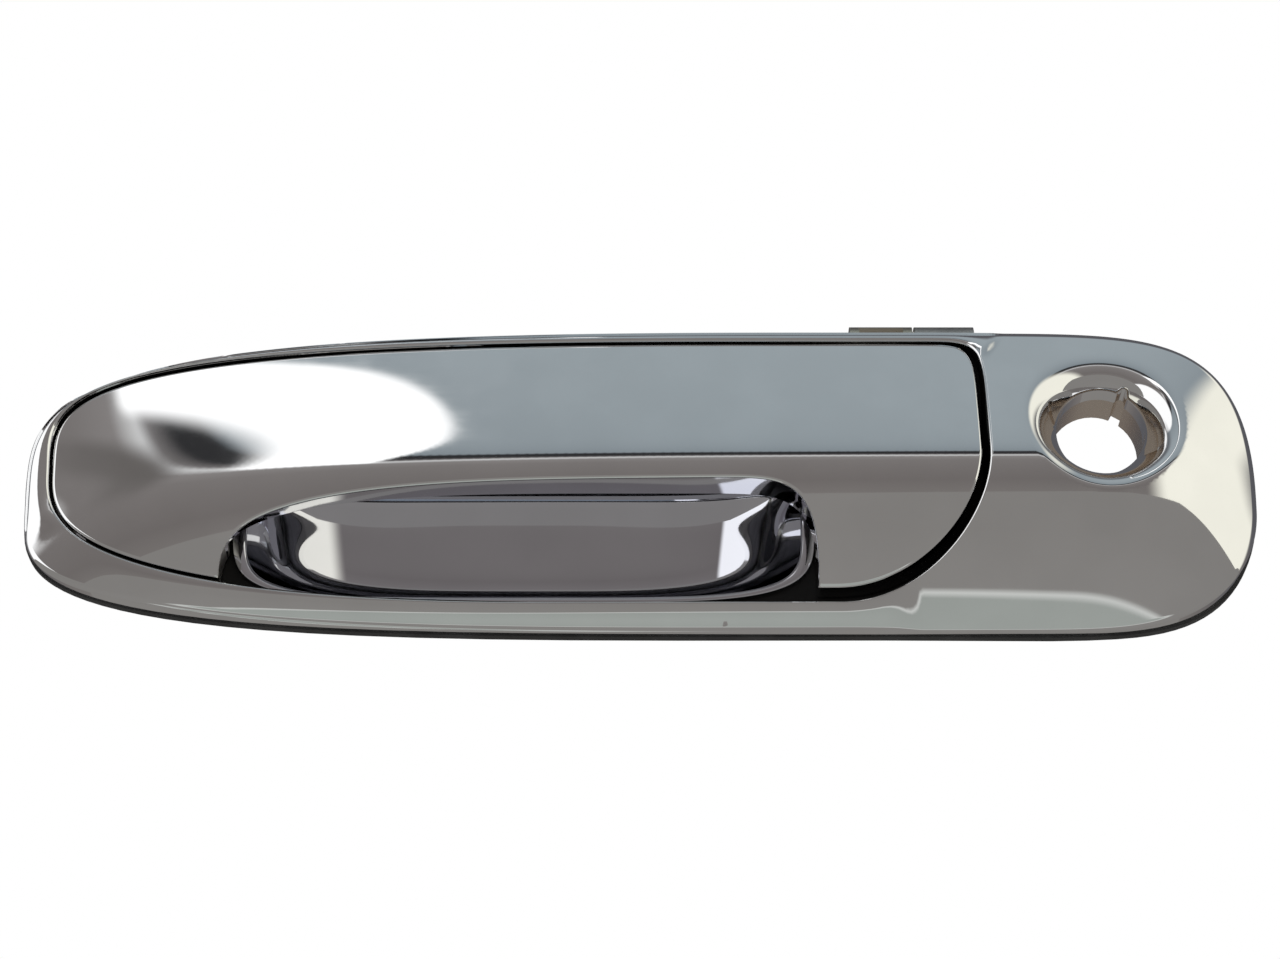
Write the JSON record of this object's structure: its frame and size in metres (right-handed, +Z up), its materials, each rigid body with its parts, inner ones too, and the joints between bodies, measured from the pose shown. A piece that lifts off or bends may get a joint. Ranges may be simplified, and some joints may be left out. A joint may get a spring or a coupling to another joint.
{
  "type": "car door handle",
  "caption": "Chrome pull-type exterior car door handle: hinged grip over a finger cup, open lock seat, bellcrank behind the bezel and two studs.",
  "frame": {"origin": "midpoint between the two mounting studs, in the plane of the gasket's rear face, which lies on the door skin", "axes": "+X along the handle toward the lock end, +Z up, -Y faces out of the door, +Y into the door"},
  "size_m": [0.2577, 0.0568, 0.0762],
  "materials": {
    "chrome": "bright chrome plate on zinc die casting, mirror polish",
    "cup_chrome": "bright chrome plate on the moulded finger cup",
    "gasket_rubber": "black moulded rubber, matt",
    "bumper_rubber": "black rubber",
    "zinc_steel": "bright zinc-plated steel",
    "spring_steel": "oiled spring steel",
    "plated_steel": "yellow-passivated pressed steel",
    "cast_alloy": "as-cast alloy, satin",
    "nylon_white": "natural nylon",
    "nylon_dark": "black acetal, satin"
  },
  "bodies": {
    "bezel": {"bezel": "chrome", "gasket": "gasket_rubber", "finger_cup": "cup_chrome", "cup_push_nuts": "spring_steel", "stud_front": "zinc_steel", "stud_rear": "zinc_steel", "hinge_pin": "zinc_steel", "hinge_pin_clip": "spring_steel", "grip_bumpers": "bumper_rubber", "bellcrank_pin": "zinc_steel", "bellcrank_clip": "spring_steel", "bellcrank_washer": "nylon_white", "bellcrank_spring": "spring_steel"},
    "grip": {"grip_shell": "chrome", "grip_backer": "cast_alloy", "grip_screws": "zinc_steel", "hinge_bush_lower": "nylon_white", "hinge_bush_upper": "nylon_white", "pull_arm": "plated_steel", "pull_arm_screws": "zinc_steel"},
    "bellcrank": {"bellcrank": "plated_steel"},
    "rod_clip": {"rod_clip": "nylon_dark"}
  },
  "joints": [
    {"name": "grip_pull", "type": "hinge", "parent": "bezel", "child": "grip", "pos_m": [-0.1105, -0.002, 0.01275], "axis": [0, 0, -1], "range_deg": [0, 6], "stiffness_Nm_per_rad": 0.6, "springref_deg": -11.46},
    {"name": "bellcrank_turn", "type": "hinge", "parent": "bezel", "child": "bellcrank", "pos_m": [0.0567, 0.008, 0.0485], "axis": [-1, 0, 0], "range_deg": [0, 45], "deforming": ["bellcrank_spring"]},
    {"name": "rod_clip_swivel", "type": "hinge", "parent": "bellcrank", "child": "rod_clip", "pos_m": [0.0671, 0.02967, 0.05232], "axis": [1, 0, 0], "range_deg": [-50, 50]}
  ],
  "couplings": [
    {"joint": "bellcrank_turn", "follows": "grip_pull", "ratio": 7.4}
  ]
}
